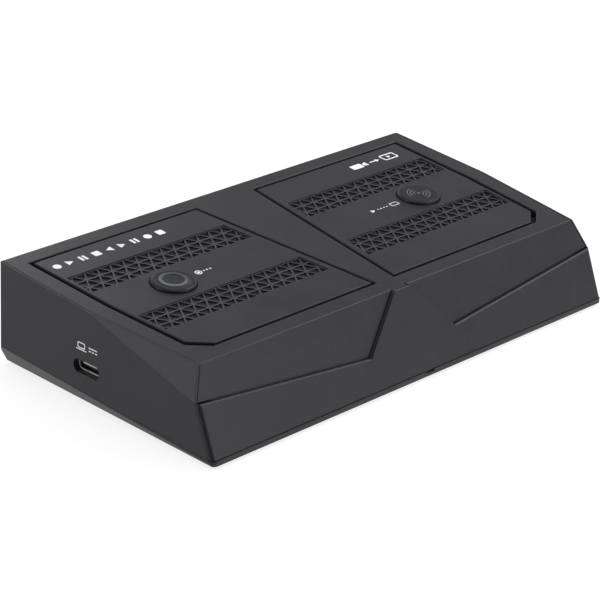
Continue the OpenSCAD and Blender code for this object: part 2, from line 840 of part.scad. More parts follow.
module heat_sink() {
  z = board_z + chip_h + pad_t;
  step = (sink_w - fin_t) / (sink_fins - 1);
  color(metal_color) {
    on_board(chip_at, [sink_w, sink_w, sink_base_t], z);
    for (i = [0:sink_fins - 1]) translate([chip_at.x - sink_w / 2 + i * step, chip_at.y - sink_w / 2, z])
      cube([fin_t, sink_w, sink_base_t + sink_fin_h]);
  }
}

module memory_chips() color(chip_color) for (p = memory_at) on_board(p, memory_size);

module power_coils() color([0.3, 0.3, 0.31]) for (p = coil_at) on_board(p, coil_size);

module capacitors() {
  color(metal_color) for (p = capacitor_at) translate([p.x, p.y, board_z])
    cylinder(r = capacitor_r, h = capacitor_h);
}

// Sockets are drawn with their mouth in the XY plane and their depth along Z
module at_left(y, h) {
  translate([-half_w + port_in, y, board_z + h / 2]) rotate([90, 0, 90]) children();
}

module at_right(y, h) mirror([1, 0, 0]) at_left(y, h) children();

module at_back(x, h) {
  z = board_z + h / 2;
  translate([x, back_at(z) - port_in, z]) rotate([90, 0, 0]) children();
}

module slot_outline(size, corner, d) {
  x = size.x / 2 - corner;
  y = size.y / 2 - corner;
  square([2 * x, size.y + 2 * d], center = true);
  square([size.x + 2 * d, 2 * y], center = true);
  for (i = [-x, x], j = [-y, y]) translate([i, j]) circle(corner + d);
}

module video_outline(d) {
  w = video_size.x / 2;
  h = video_size.y / 2;
  low = [[-w, video_cut - h], [video_cut - w, -h], [w - video_cut, -h], [w, video_cut - h]];
  polygon(grown(concat(low, [[w, h], [-w, h]]), d));
}

module box_outline(size, d) square([size.x + 2 * d, size.y + 2 * d], center = true);

// Hollow metal shell, closed at its inner end, with the tongue that a plug slides over
module shell_socket(depth, tongue, tongue_y = 0) {
  difference() {
    linear_extrude(depth) children(0);
    translate([0, 0, -metal_t]) linear_extrude(depth) children(1);
  }
  translate([-tongue.x / 2, tongue_y - tongue.y / 2, tongue_in])
    cube([tongue.x, tongue.y, depth - tongue_in]);
}

module usb_c_socket() {
  color(metal_color) at_left(usb_c_y, usb_c_size.y) shell_socket(usb_c_size.z, usb_c_tongue) {
    slot_outline(usb_c_size, usb_c_r, 0);
    slot_outline(usb_c_size, usb_c_r, -metal_t);
  }
}

module video_socket(x) {
  color(metal_color) at_back(x, video_size.y) shell_socket(video_size.z, video_tongue) {
    video_outline(0);
    video_outline(-metal_t);
  }
}

module video_in_socket() video_socket(-video_x);
module video_out_socket() video_socket(video_x);

module usb_host_socket() {
  color(metal_color) at_right(host_y, host_size.y) shell_socket(host_size.z, host_tongue, host_size.y / 5) {
    box_outline(host_size, 0);
    box_outline(host_size, -metal_t);
  }
}

module card_slot() {
  color(metal_color) at_right(card_y, card_size.y) difference() {
    linear_extrude(card_size.z) box_outline(card_size, 0);
    translate([0, 0, -metal_t]) linear_extrude(card_size.z) box_outline(card_slit, 0);
  }
}

module jack(x) {
  color(chip_color) at_back(x, jack_size.y) difference() {
    union() {
      cylinder(r = jack_nose_r - port_gap, h = wall + board_gap);
      translate([-jack_size.x / 2, -jack_size.y / 2, wall]) cube([jack_size.x, jack_size.y, jack_size.z]);
    }
    translate([0, 0, -wall]) cylinder(r = jack_bore_r, h = wall + jack_size.z);
  }
}

module mic_jack() jack(jack_x);
module phones_jack() jack(jack_x + jack_pitch);

// Cut-outs in the ends and the back wall
module through() translate([0, 0, -2 * wall]) linear_extrude(4 * wall) children();

module port_cuts() {
  at_left(usb_c_y, usb_c_size.y) through() slot_outline(usb_c_size, usb_c_r, port_gap);
  at_right(host_y, host_size.y) through() box_outline(host_size, port_gap);
  at_right(card_y, card_size.y) through() box_outline(card_size, port_gap);
  for (x = [-video_x, video_x]) at_back(x, video_size.y) through() video_outline(port_gap);
  for (x = [jack_x, jack_x + jack_pitch]) at_back(x, jack_size.y) through() circle(jack_nose_r);
}

top_cover();
housing();
base_plate();
left_panel();
right_panel();
rec_cap();
rec_cap_center();
rec_light_guide();
rec_plunger();
rec_switch();
ring_leds();
stream_cap();
stream_plunger();
stream_switch();
button_board();
button_board_screws();
flat_cable();
cable_sockets();
main_board();
capture_chip();
thermal_pad();
heat_sink();
memory_chips();
power_coils();
capacitors();
usb_c_socket();
video_in_socket();
video_out_socket();
mic_jack();
phones_jack();
usb_host_socket();
card_slot();
case_screws();
feet();
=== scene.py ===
import bpy
import bmesh
import json
import math
from mathutils import Matrix, Vector


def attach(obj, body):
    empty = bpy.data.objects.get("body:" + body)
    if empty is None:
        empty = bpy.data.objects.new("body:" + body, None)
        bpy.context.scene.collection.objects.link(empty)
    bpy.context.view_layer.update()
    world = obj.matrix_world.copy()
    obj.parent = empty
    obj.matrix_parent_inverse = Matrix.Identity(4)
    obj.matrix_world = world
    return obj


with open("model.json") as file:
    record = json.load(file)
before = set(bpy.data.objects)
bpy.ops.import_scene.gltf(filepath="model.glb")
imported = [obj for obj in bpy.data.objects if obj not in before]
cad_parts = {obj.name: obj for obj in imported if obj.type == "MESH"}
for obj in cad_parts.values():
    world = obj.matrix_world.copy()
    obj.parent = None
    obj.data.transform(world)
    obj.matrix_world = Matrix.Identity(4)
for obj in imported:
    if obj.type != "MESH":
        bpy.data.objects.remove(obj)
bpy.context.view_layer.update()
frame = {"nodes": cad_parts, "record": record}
scene = bpy.context.scene
scene.view_settings.view_transform = "Standard"
MM = 0.001

# The box's top face, in mm
TILT = math.radians(5)
TOP_EDGE = (0, -30.146, 23.0)
TOP_NORMAL = (0, -math.sin(TILT), math.cos(TILT))
TOP_LEVEL = Vector(TOP_EDGE).dot(Vector(TOP_NORMAL))

# The front plate's face, in mm
LEAN = math.radians(20.7)
FRONT_NORMAL = (0, -math.cos(LEAN), math.sin(LEAN))
FRONT_LEVEL = 37.329

# Camera, from the fit of the photograph's edges: place and lens in mm
CAMERA_PLACE = (-415.7512, -400.1234, 258.8840)
CAMERA_RIGHT = (0.70423166, -0.70959705, 0.02301731)
CAMERA_DOWN = (-0.26668834, -0.29443961, -0.9177051)
CAMERA_AHEAD = (0.65797804, 0.64013853, -0.39659495)
CAMERA_LENS = 144.55
CAMERA_SENSOR = 36.0


def make_camera():
    data = bpy.data.cameras.new("camera")
    data.sensor_width = CAMERA_SENSOR
    data.lens = CAMERA_LENS
    data.clip_start = 0.01
    data.clip_end = 20.0
    cam = bpy.data.objects.new("camera", data)
    scene.collection.objects.link(cam)
    right, down, ahead = Vector(CAMERA_RIGHT), Vector(CAMERA_DOWN), Vector(CAMERA_AHEAD)
    turn = Matrix((right, -down, -ahead)).transposed()
    cam.matrix_world = Matrix.Translation(Vector(CAMERA_PLACE) * MM) @ turn.to_4x4()
    scene.camera = cam


# Shader nodes
SLOW_NOISE = 90.0                # changes of shade and sheen over about a centimetre
NOISE_RANGE = (0.3, 0.7)         # where nearly all values of a noise lie
NOISE_ROUGHNESS = 0.55
GRAIN_DEPTH = 0.02               # mm
BEVEL_SAMPLES = 6
STREAK_NOISE = 700.0
STREAK_STRETCH = (1, 1, 30)
STREAK_SHADE = 0.85
STREAK_SHEEN = 0.08


def new_material(name):
    mat = bpy.data.materials.new(name)
    mat.use_nodes = True
    nodes = mat.node_tree.nodes
    links = mat.node_tree.links
    return mat, nodes, links, nodes["Principled BSDF"]


def add(nodes, kind, **values):
    """New node; each value goes to the socket of that name, or else to the setting."""
    node = nodes.new(kind)
    for key, value in values.items():
        if key in node.inputs:
            node.inputs[key].default_value = value
        else:
            setattr(node, key, value)
    return node


def noise(nodes, links, scale, detail):
    coord = add(nodes, "ShaderNodeTexCoord")
    tex = add(nodes, "ShaderNodeTexNoise", Scale=scale, Detail=detail, Roughness=NOISE_ROUGHNESS)
    links.new(coord.outputs["Object"], tex.inputs["Vector"])
    return tex.outputs["Fac"]


def ramp(nodes, links, source, low, high, start=0.35, stop=0.65):
    """Colour that runs from low to high."""
    node = add(nodes, "ShaderNodeValToRGB")
    node.color_ramp.elements[0].position = start
    node.color_ramp.elements[1].position = stop
    node.color_ramp.elements[0].color = (*low, 1)
    node.color_ramp.elements[1].color = (*high, 1)
    links.new(source, node.inputs["Fac"])
    return node.outputs["Color"]


def span(nodes, links, source, low, high):
    """Value that runs from low to high over the usual range of a noise."""
    node = add(nodes, "ShaderNodeMapRange")
    node.inputs["From Min"].default_value = NOISE_RANGE[0]
    node.inputs["From Max"].default_value = NOISE_RANGE[1]
    node.inputs["To Min"].default_value = low
    node.inputs["To Max"].default_value = high
    links.new(source, node.inputs["Value"])
    return node.outputs["Result"]


def along(nodes, links, axis, start, stop, source="Object", unit=MM):
    """Share of the way from start to stop along an axis, for the place in mm or for the normal."""
    coord = add(nodes, "ShaderNodeTexCoord")
    run = add(nodes, "ShaderNodeVectorMath", operation="DOT_PRODUCT")
    run.inputs[1].default_value = axis
    links.new(coord.outputs[source], run.inputs[0])
    share = add(nodes, "ShaderNodeMapRange")
    share.inputs["From Min"].default_value = start * unit
    share.inputs["From Max"].default_value = stop * unit
    links.new(run.outputs["Value"], share.inputs["Value"])
    return share.outputs["Result"]


def grey_ramp(nodes, links, source, stops):
    """Level by place, from a row of stops."""
    node = add(nodes, "ShaderNodeValToRGB")
    elements = node.color_ramp.elements
    while len(elements) < len(stops):
        elements.new(0.5)
    for element, (place, level) in zip(elements, stops):
        element.position = place
        element.color = (level, level, level, 1)
    links.new(source, node.inputs["Fac"])
    return node.outputs["Color"]


def math_node(nodes, links, operation, *values):
    """Math node whose inputs are sockets or plain numbers."""
    node = add(nodes, "ShaderNodeMath", operation=operation)
    for socket, value in zip(node.inputs, values):
        if isinstance(value, (int, float)):
            socket.default_value = value
        else:
            links.new(value, socket)
    return node.outputs[0]


# Materials
def moulded(name, colour, rough=0.5, spread=0.05, grain=3200.0, relief=0.25, vary=0.12,
            gloss=0.5, soft=0.0, speck=0.0):
    """Moulded plastic: fine spark-eroded grain, slow changes in sheen and shade, and edges
    that are soft by tenths of a mm."""
    mat, nodes, links, shader = new_material(name)
    slow = noise(nodes, links, SLOW_NOISE, 4.0)
    fine = noise(nodes, links, grain, 2.0)
    low = [c * (1 - vary) for c in colour]
    high = [c * (1 + vary) for c in colour]
    tone = add(nodes, "ShaderNodeVectorMath", operation="SCALE")
    links.new(ramp(nodes, links, slow, low, high), tone.inputs[0])
    links.new(span(nodes, links, fine, 1 - speck, 1 + speck), tone.inputs["Scale"])
    links.new(tone.outputs[0], shader.inputs["Base Color"])
    links.new(span(nodes, links, slow, rough - spread, rough + spread), shader.inputs["Roughness"])
    shader.inputs["Specular IOR Level"].default_value = gloss
    bump = add(nodes, "ShaderNodeBump", Strength=relief, Distance=GRAIN_DEPTH * MM)
    links.new(fine, bump.inputs["Height"])
    links.new(bump.outputs["Normal"], shader.inputs["Normal"])
    if soft:
        edge = add(nodes, "ShaderNodeBevel", samples=BEVEL_SAMPLES, Radius=soft * MM)
        links.new(edge.outputs["Normal"], bump.inputs["Normal"])
    return mat


def metal(name, colour, rough):
    """Bright drawn metal with fine streaks."""
    mat, nodes, links, shader = new_material(name)
    coord = add(nodes, "ShaderNodeTexCoord")
    place = add(nodes, "ShaderNodeMapping")
    place.inputs["Scale"].default_value = STREAK_STRETCH
    tex = add(nodes, "ShaderNodeTexNoise", Scale=STREAK_NOISE, Detail=3.0)
    links.new(coord.outputs["Object"], place.inputs["Vector"])
    links.new(place.outputs["Vector"], tex.inputs["Vector"])
    streaks = tex.outputs["Fac"]
    low = [c * STREAK_SHADE for c in colour]
    links.new(ramp(nodes, links, streaks, low, colour), shader.inputs["Base Color"])
    links.new(span(nodes, links, streaks, rough - STREAK_SHEEN, rough + STREAK_SHEEN),
              shader.inputs["Roughness"])
    shader.inputs["Metallic"].default_value = 1.0
    return mat


def scale_shade(mat, share):
    """Scale a material's colour and its gloss by a share."""
    nodes, links = mat.node_tree.nodes, mat.node_tree.links
    shader = nodes["Principled BSDF"]
    tone = add(nodes, "ShaderNodeVectorMath", operation="SCALE")
    links.new(shader.inputs["Base Color"].links[0].from_socket, tone.inputs[0])
    links.new(share, tone.inputs["Scale"])
    links.new(tone.outputs[0], shader.inputs["Base Color"])
    gloss = shader.inputs["Specular IOR Level"]
    links.new(math_node(nodes, links, "MULTIPLY", share, gloss.default_value), gloss)


# Stops over the last mm under the top face: cell, foot and top of a rib, face
GRILLE_DEPTH = 1.0
GRILLE_STOPS = (0.5, 0.56, 0.66, 0.72)


def paint_rib_highlight_cell_shade(mat, cell, rib):
    """Grille of the panels, told by the depth under the face: painted highlight on paler, glossier
    rib tops and painted shade in darker, duller cells. A ramp holds no more than 1, so it holds
    half."""
    nodes, links = mat.node_tree.nodes, mat.node_tree.links
    depth = along(nodes, links, TOP_NORMAL, TOP_LEVEL - GRILLE_DEPTH, TOP_LEVEL)
    levels = (cell / 2, rib / 2, rib / 2, 0.5)
    half = grey_ramp(nodes, links, depth, tuple(zip(GRILLE_STOPS, levels)))
    scale_shade(mat, math_node(nodes, links, "MULTIPLY", half, 2.0))


# Stops over the last 2 mm under the front plate's face, and normals that part walls from faces
GROOVE_DEPTH = 2.0
GROOVE_FLOOR_STOPS = (0.125, 0.175, 0.425, 0.475)
GROOVE_WALL_STOPS = (0.125, 0.175, 0.75, 0.8)
FACE_TO_WALL = (0.75, 0.45)
TOP_TO_REST = (0.95, 0.85)


def paint_groove_light(mat, floor, wall):
    """Step groove of the front, told by the depth under the plate's face: a paler floor and paler
    walls, painted light that stands in for light reaching into the groove."""
    nodes, links = mat.node_tree.nodes, mat.node_tree.links
    depth = along(nodes, links, FRONT_NORMAL, FRONT_LEVEL - GROOVE_DEPTH, FRONT_LEVEL)
    low = grey_ramp(nodes, links, depth, tuple(zip(GROOVE_FLOOR_STOPS, (0.0, floor, floor, 0.0))))
    high = grey_ramp(nodes, links, depth, tuple(zip(GROOVE_WALL_STOPS, (0.0, wall, wall, 0.0))))
    is_wall = along(nodes, links, FRONT_NORMAL, *FACE_TO_WALL, "Normal", 1)
    off_top = along(nodes, links, TOP_NORMAL, *TOP_TO_REST, "Normal", 1)
    sides = math_node(nodes, links, "MULTIPLY", high, is_wall)
    more = math_node(nodes, links, "MAXIMUM", low, sides)
    scale_shade(mat, math_node(nodes, links, "MULTIPLY_ADD", more, off_top, 1.0))


# Light guide: the way across the ring, from the front left to the back right, in mm
RING_AXIS = (0.7071, 0.7071, 0.0)
RING_START, RING_STOP = -32.6, -24.9


def paint_ring_light(mat, near, far):
    """Light guide with painted highlight and shade: paler at the front left, darker at the back
    right.
    """
    nodes, links = mat.node_tree.nodes, mat.node_tree.links
    share = along(nodes, links, RING_AXIS, RING_START, RING_STOP)
    shade = ramp(nodes, links, share, near, far, 0.0, 1.0)
    links.new(shade, nodes["Principled BSDF"].inputs["Base Color"])


SHELL_LOOK = {"rough": 0.35, "spread": 0.03, "relief": 0.35, "vary": 0.07, "speck": 0.22,
              "gloss": 0.28}
PRINT_LOOK = {"rough": 0.5, "grain": 4200.0, "relief": 0.1}


def make_materials():
    made = {}
    made["cover"] = moulded("cover_plastic", (0.0248, 0.0251, 0.0305), soft=0.25, **SHELL_LOOK)
    # Painted light in the step groove: floor 1.45 and walls up to 1.9 times the cover's colour and
    # gloss
    paint_groove_light(made["cover"], 0.45, 0.9)
    made["shell"] = moulded("shell_plastic", (0.0245, 0.025, 0.03), soft=0.2, **SHELL_LOOK)
    made["panel"] = moulded("panel_plastic", (0.0245, 0.0247, 0.0285), soft=0.2, **SHELL_LOOK)
    # Painted highlight on the grille's ribs (1.5 times colour and gloss), painted shade in its
    # cells (0.8 times)
    paint_rib_highlight_cell_shade(made["panel"], 0.8, 1.5)
    made["button"] = moulded("button_plastic", (0.009, 0.0092, 0.0112), 0.45, grain=5200.0,
                             relief=0.12, gloss=0.32)
    made["light_guide"] = moulded("light_guide_plastic", (0.092, 0.108, 0.132), 0.4,
                                  grain=5200.0, relief=0.08)
    # Painted highlight at the ring's front left, painted shade at its back right
    paint_ring_light(made["light_guide"], (0.104, 0.116, 0.136), (0.016, 0.02, 0.028))
    made["switch_plunger"] = moulded("plunger_plastic", (0.42, 0.11, 0.06), 0.45)
    made["switch_case"] = moulded("switch_plastic", (0.03, 0.03, 0.032), 0.5)
    made["lamp"] = moulded("lamp_resin", (0.8, 0.75, 0.55), 0.25)
    made["board"] = moulded("board_mask", (0.015, 0.13, 0.055), 0.3, grain=1500.0)
    made["steel"] = metal("socket_steel", (0.62, 0.62, 0.63), 0.3)
    made["cable"] = moulded("cable_film", (0.75, 0.75, 0.72), 0.35)
    made["pale_plastic"] = moulded("pale_plastic", (0.68, 0.64, 0.55), 0.5)
    made["chip"] = moulded("chip_resin", (0.018, 0.018, 0.02), 0.55)
    made["pad"] = moulded("pad_silicone", (0.4, 0.46, 0.55), 0.7)
    made["aluminium"] = metal("milled_aluminium", (0.75, 0.75, 0.77), 0.35)
    made["coil"] = moulded("coil_ferrite", (0.06, 0.06, 0.064), 0.6)
    made["can"] = metal("can_aluminium", (0.8, 0.8, 0.82), 0.25)
    made["jack_plastic"] = moulded("jack_plastic", (0.012, 0.012, 0.013), 0.4)
    made["foot_rubber"] = moulded("foot_rubber", (0.018, 0.018, 0.018), 0.75, grain=1800.0,
                                  relief=0.4)
    made["print"] = moulded("pale_print", (0.8, 0.81, 0.82), **PRINT_LOOK)
    made["faint_print"] = moulded("faint_print", (0.11, 0.112, 0.118), **PRINT_LOOK)
    made["gold"] = metal("contact_gold", (0.85, 0.62, 0.28), 0.28)
    # Pale plastic for the USB-C mouth's rim and tongue strip: painted highlight
    made["rim"] = moulded("rim_painted_highlight", (0.78, 0.78, 0.8), 0.35, grain=5200.0, relief=0.05)
    made["liner"] = moulded("liner_plastic", (0.006, 0.006, 0.0065), 0.55, grain=4200.0,
                            relief=0.1)
    return made


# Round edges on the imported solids, in mm; the others only shade smooth over their rounds
EDGES = {
    "rec_cap": 0.06, "rec_cap_center": 0.08, "rec_light_guide": 0.05, "stream_cap": 0.06,
    "feet": 0.3, "case_screws": 0.15, "mic_jack": 0.15, "phones_jack": 0.15,
}
WELD = 0.002                     # mm
SHARP_FROM = math.radians(26)
BEVEL_FROM = math.radians(28)
BEVEL_STEPS = 2
NORMAL_WEIGHT = 80


def smooth_rounds():
    """Shading group: facets of a round shade as one, edges over 26 degrees stay sharp."""
    group = bpy.data.node_groups.new("smooth_rounds", "GeometryNodeTree")
    group.interface.new_socket("Geometry", in_out="INPUT", socket_type="NodeSocketGeometry")
    group.interface.new_socket("Geometry", in_out="OUTPUT", socket_type="NodeSocketGeometry")
    nodes, links = group.nodes, group.links
    start, end = nodes.new("NodeGroupInput"), nodes.new("NodeGroupOutput")
    join = add(nodes, "GeometryNodeMergeByDistance", Distance=WELD * MM)
    faces = add(nodes, "GeometryNodeSetShadeSmooth", domain="FACE")
    edges = add(nodes, "GeometryNodeSetShadeSmooth", domain="EDGE")
    angle = nodes.new("GeometryNodeInputMeshEdgeAngle")
    flat = math_node(nodes, links, "LESS_THAN", angle.outputs["Unsigned Angle"], SHARP_FROM)
    links.new(start.outputs[0], join.inputs[0])
    links.new(join.outputs[0], faces.inputs[0])
    links.new(faces.outputs[0], edges.inputs[0])
    links.new(flat, edges.inputs["Shade Smooth"])
    links.new(edges.outputs[0], end.inputs[0])
    return group


def dress_nodes(materials):
    rounds = smooth_rounds()
    slots = {part["node"]: part["material_slot"] for part in frame["record"]["subparts"]}
    for name, obj in frame["nodes"].items():
        obj.data.materials.clear()
        obj.data.materials.append(materials[slots[name]])
        width = EDGES.get(name)
        if width:
            weld = obj.modifiers.new("weld", "WELD")
            weld.merge_threshold = WELD * MM
            bevel = obj.modifiers.new("edge", "BEVEL")
            bevel.width = width * MM
            bevel.segments = BEVEL_STEPS
            bevel.limit_method = "ANGLE"
            bevel.angle_limit = BEVEL_FROM
            bevel.use_clamp_overlap = True
        else:
            obj.modifiers.new("rounds", "NODES").node_group = rounds
        smooth = obj.modifiers.new("normals", "WEIGHTED_NORMAL")
        smooth.weight = NORMAL_WEIGHT
        smooth.keep_sharp = not width


# Thin printed marks and small fittings, drawn flat in a face's own frame, in mm
def fill(bm, outline, low, high):
    """Plate over an outline, from low to high."""
    lows = [bm.verts.new((x, y, low)) for x, y in outline]
    highs = [bm.verts.new((x, y, high)) for x, y in outline]
    bm.faces.new(list(reversed(lows)))
    bm.faces.new(highs)
    count = len(outline)
    for i in range(count):
        j = (i + 1) % count
        bm.faces.new((lows[i], lows[j], highs[j], highs[i]))


def band(bm, outer, inner, low, high, closed=True):
    """Plate between two outlines with as many points each, or between two open lines."""
    rows = []
    for points, z in ((outer, low), (outer, high), (inner, high), (inner, low)):
        rows.append([bm.verts.new((x, y, z)) for x, y in points])
    count = len(outer)
    for i in range(count if closed else count - 1):
        j = (i + 1) % count
        for k in range(4):
            m = (k + 1) % 4
            bm.faces.new((rows[k][i], rows[k][j], rows[m][j], rows[m][i]))
    if not closed:
        bm.faces.new([row[0] for row in rows])
        bm.faces.new([row[-1] for row in reversed(rows)])


def arc(cx, cy, radius, start, stop, steps):
    turn = (stop - start) / steps
    return [(cx + radius * math.cos(math.radians(start + turn * i)),
             cy + radius * math.sin(math.radians(start + turn * i))) for i in range(steps + 1)]


def circle(cx, cy, radius, steps=40):
    return arc(cx, cy, radius, 0.0, 360.0, steps)[:-1]


def rect(x0, y0, x1, y1, radius=0.0, steps=6):
    if not radius:
        return [(x0, y0), (x1, y0), (x1, y1), (x0, y1)]
    corners = ((x1 - radius, y0 + radius, -90), (x1 - radius, y1 - radius, 0),
               (x0 + radius, y1 - radius, 90), (x0 + radius, y0 + radius, 180))
    return [p for cx, cy, start in corners for p in arc(cx, cy, radius, start, start + 90, steps)]


def finish_piece(name, bm, place, body, material):
    bmesh.ops.recalc_face_normals(bm, faces=bm.faces)
    mesh = bpy.data.meshes.new(name)
    bm.to_mesh(mesh)
    bm.free()
    mesh.transform(place)
    mesh.transform(Matrix.Scale(MM, 4))
    mesh.materials.append(material)
    obj = bpy.data.objects.new(name, mesh)
    scene.collection.objects.link(obj)
    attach(obj, body)


def face_frame(origin, across, up):
    across, up = Vector(across).normalized(), Vector(up).normalized()
    out = across.cross(up)
    turn = Matrix((across, up, out)).transposed().to_4x4()
    return Matrix.Translation(Vector(origin)) @ turn


TOP = face_frame(TOP_EDGE, (1, 0, 0), (0, math.cos(TILT), math.sin(TILT)))
LEFT_END = face_frame((-72.5, 0, 0), (0, -1, 0), (0, 0, 1))
INK = (-0.02, 0.03)              # from under the face to over it
POINT = 0.88                     # length of a triangle to its height


def play_mark(bm, x, y, size):
    fill(bm, [(x, y - size / 2), (x + POINT * size, y), (x, y + size / 2)], *INK)


def back_mark(bm, x, y, size):
    end = x + POINT * size
    fill(bm, [(end, y - size / 2), (end, y + size / 2), (x, y)], *INK)


def pause_mark(bm, x, y, size):
    for start, stop in ((0.0, 0.3), (0.55, 0.85)):
        fill(bm, rect(x + start * size, y - size / 2, x + stop * size, y + size / 2), *INK)


def stop_mark(bm, x, y, size):
    fill(bm, rect(x, y - size / 2, x + size, y + size / 2, 0.12 * size), *INK)


def dot_mark(bm, x, y, size):
    fill(bm, circle(x + size / 2, y, size / 2), *INK)


def ring_mark(bm, x, y, size, line):
    outer = circle(x + size / 2, y, size / 2)
    inner = circle(x + size / 2, y, size / 2 - line)
    band(bm, outer, inner, *INK)


def camera_mark(bm, x, y, size):
    h = size / 2
    near, far = x + 1.85 * size, x + 2.5 * size
    fill(bm, rect(x, y - h, x + 1.7 * size, y + h, 0.2 * size), *INK)
    fill(bm, [(near, y - 0.2 * size), (far, y - 0.45 * size),
              (far, y + 0.45 * size), (near, y + 0.2 * size)], *INK)


def screen_mark(bm, x, y, width, height, line):
    low, high = y - height / 2, y + height / 2
    outer = rect(x, low, x + width, high, 1.5 * line)
    inner = rect(x + line, low + line, x + width - line, high - line, 0.5 * line)
    band(bm, outer, inner, *INK)


def draw_record(bm):
    row = 35.2
    ring_mark(bm, -37.0, row, 2.0, 0.28)
    dot_mark(bm, -36.45, row, 0.9)
    for i in range(3):
        dot_mark(bm, -34.4 + 1.05 * i, row, 0.55)


def draw_stream(bm):
    row = 34.9
    play_mark(bm, 26.8, row, 1.5)
    for i in range(4):
        dot_mark(bm, 29.1 + 1.15 * i, row, 0.5)
    screen_mark(bm, 34.2, row, 2.9, 1.7, 0.24)


def draw_left_panel(bm):
    row, start, step, size = 58.0, -63.9, 4.3, 2.3
    marks = (dot_mark, play_mark, pause_mark, stop_mark, back_mark, play_mark, pause_mark,
             dot_mark, stop_mark)
    for i, mark in enumerate(marks):
        mark(bm, start + step * i, row, size)


def draw_right_panel(bm):
    row = 57.8
    camera_mark(bm, 43.0, row, 2.4)
    fill(bm, rect(50.2, 57.6, 52.6, 58.0), *INK)
    play_mark(bm, 52.6, row, 1.5)
    screen_mark(bm, 55.2, row, 5.4, 3.2, 0.4)
    play_mark(bm, 57.3, row, 1.4)


def draw_port(bm):
    screen_mark(bm, -8.6, 16.45, 2.8, 1.6, 0.28)
    fill(bm, rect(-9.1, 15.2, -5.3, 15.45), *INK)
    fill(bm, rect(-4.4, 16.55, -1.4, 16.85), *INK)
    for i in range(3):
        fill(bm, rect(-4.4 + 1.15 * i, 15.75, -3.7 + 1.15 * i, 16.05), *INK)


def draw_stream_cap(bm):
    """Dot with three pairs of arcs, on the cap's own face."""
    cap_face = 0.9
    low, high = cap_face - 0.02, cap_face + 0.015
    middle = (45.0, 34.6)
    half_line = 0.14
    sweep, steps = 92, 18
    fill(bm, circle(*middle, 0.42, 24), low, high)
    for radius in (1.35, 2.25, 3.15):
        for start in (92.0, -88.0):
            outer = arc(*middle, radius + half_line, start, start + sweep, steps)
            inner = arc(*middle, radius - half_line, start, start + sweep, steps)
            band(bm, outer, inner, low, high, closed=False)


def make_marks(materials):
    pale, faint = materials["print"], materials["faint_print"]
    marks = (
        ("record_mark", draw_record, TOP, "case", pale),
        ("stream_mark", draw_stream, TOP, "case", pale),
        ("left_panel_marks", draw_left_panel, TOP, "case", pale),
        ("right_panel_marks", draw_right_panel, TOP, "case", pale),
        ("port_mark", draw_port, LEFT_END, "case", pale),
        ("stream_cap_mark", draw_stream_cap, TOP, "stream_button", faint),
    )
    for name, draw, place, body, ink in marks:
        bm = bmesh.new()
        draw(bm)
        finish_piece(name, bm, place, body, ink)


# Insides of the sockets: dark liners, tongues and gilt contacts. Each is drawn in the frame of
# the socket's mouth, whose third axis points into the box.
UP = (0, 0, 1)
USB_C_MOUTH = face_frame((-70.9, 5.5, 10.68), (0, 1, 0), UP)
USB_HOST_MOUTH = face_frame((70.9, 6.0, 11.95), (0, -1, 0), UP)
CARD_MOUTH = face_frame((70.9, -9.0, 10.05), (0, -1, 0), UP)
VIDEO_PLACES = (("video_in", -14.0), ("video_out", 14.0))
VIDEO_Y, VIDEO_Z = 37.464, 11.85
JACK_PLACES = (("mic", 36.0), ("phones", 47.0))
JACK_Y, JACK_Z = 37.473, 11.6
LINER_BACK = 0.1
SLEEVE_FRONT = 0.34
SLEEVE_ROUND = 0.12
CONTACT_SUNK, CONTACT_PROUD = 0.03, 0.05


def centred(width, height, radius=0.0):
    return rect(-width / 2, -height / 2, width / 2, height / 2, radius)


def video_shape(inset):
    """Mouth of a video socket, with its two lower corners cut off."""
    w, h, c = 7.45 - inset, 2.75 - inset, 1.7 - 0.41 * inset
    return [(-w, c - h), (c - w, -h), (w - c, -h), (w, c - h), (w, h), (-w, h)]


def liner(name, place, outer, inner, low, high, materials):
    bm = bmesh.new()
    band(bm, outer, inner, low, high)
    fill(bm, outer, high - LINER_BACK, high)
    finish_piece(name, bm, place, "case", materials["liner"])


def sleeve(name, place, width, height, middle, back, materials):
    bm = bmesh.new()
    outline = rect(-width / 2, middle - height / 2, width / 2, middle + height / 2,
                   SLEEVE_ROUND, 3)
    fill(bm, outline, SLEEVE_FRONT, back)
    finish_piece(name, bm, place, "case", materials["liner"])


def contacts(name, place, rows, materials):
    """Rows of contacts: count, pitch, width, level, side of the tongue, front and back."""
    bm = bmesh.new()
    for count, pitch, width, level, side, low, high in rows:
        y0, y1 = sorted((level - CONTACT_SUNK * side, level + CONTACT_PROUD * side))
        for i in range(count):
            x = (i - (count - 1) / 2) * pitch
            fill(bm, rect(x - width / 2, y0, x + width / 2, y1), low, high)
    finish_piece(name, bm, place, "case", materials["gold"])


def make_usb_c(materials):
    place = USB_C_MOUTH
    liner("usb_c_liner", place, centred(8.32, 2.54, 0.89), centred(8.1, 2.32, 0.78), 0.35, 7.0,
          materials)
    sleeve("usb_c_sleeve", place, 6.82, 0.82, 0.0, 6.95, materials)
    # Pale band round the mouth and pale strip on the tongue's front: painted highlight of their
    # edges catching light
    bm = bmesh.new()
    band(bm, centred(8.72, 2.94, 1.06), centred(8.4, 2.62, 0.92), -0.03, 0.05)
    fill(bm, rect(-3.25, 0.1, 3.25, 0.37, 0.1, 3), 0.3, 0.35)
    finish_piece("usb_c_rim_highlight", bm, place, "case", materials["rim"])
    contacts("usb_c_contacts", place,
             [(12, 0.5, 0.26, 0.41, 1, 1.0, 4.6), (12, 0.5, 0.26, -0.41, -1, 1.0, 4.6)], materials)


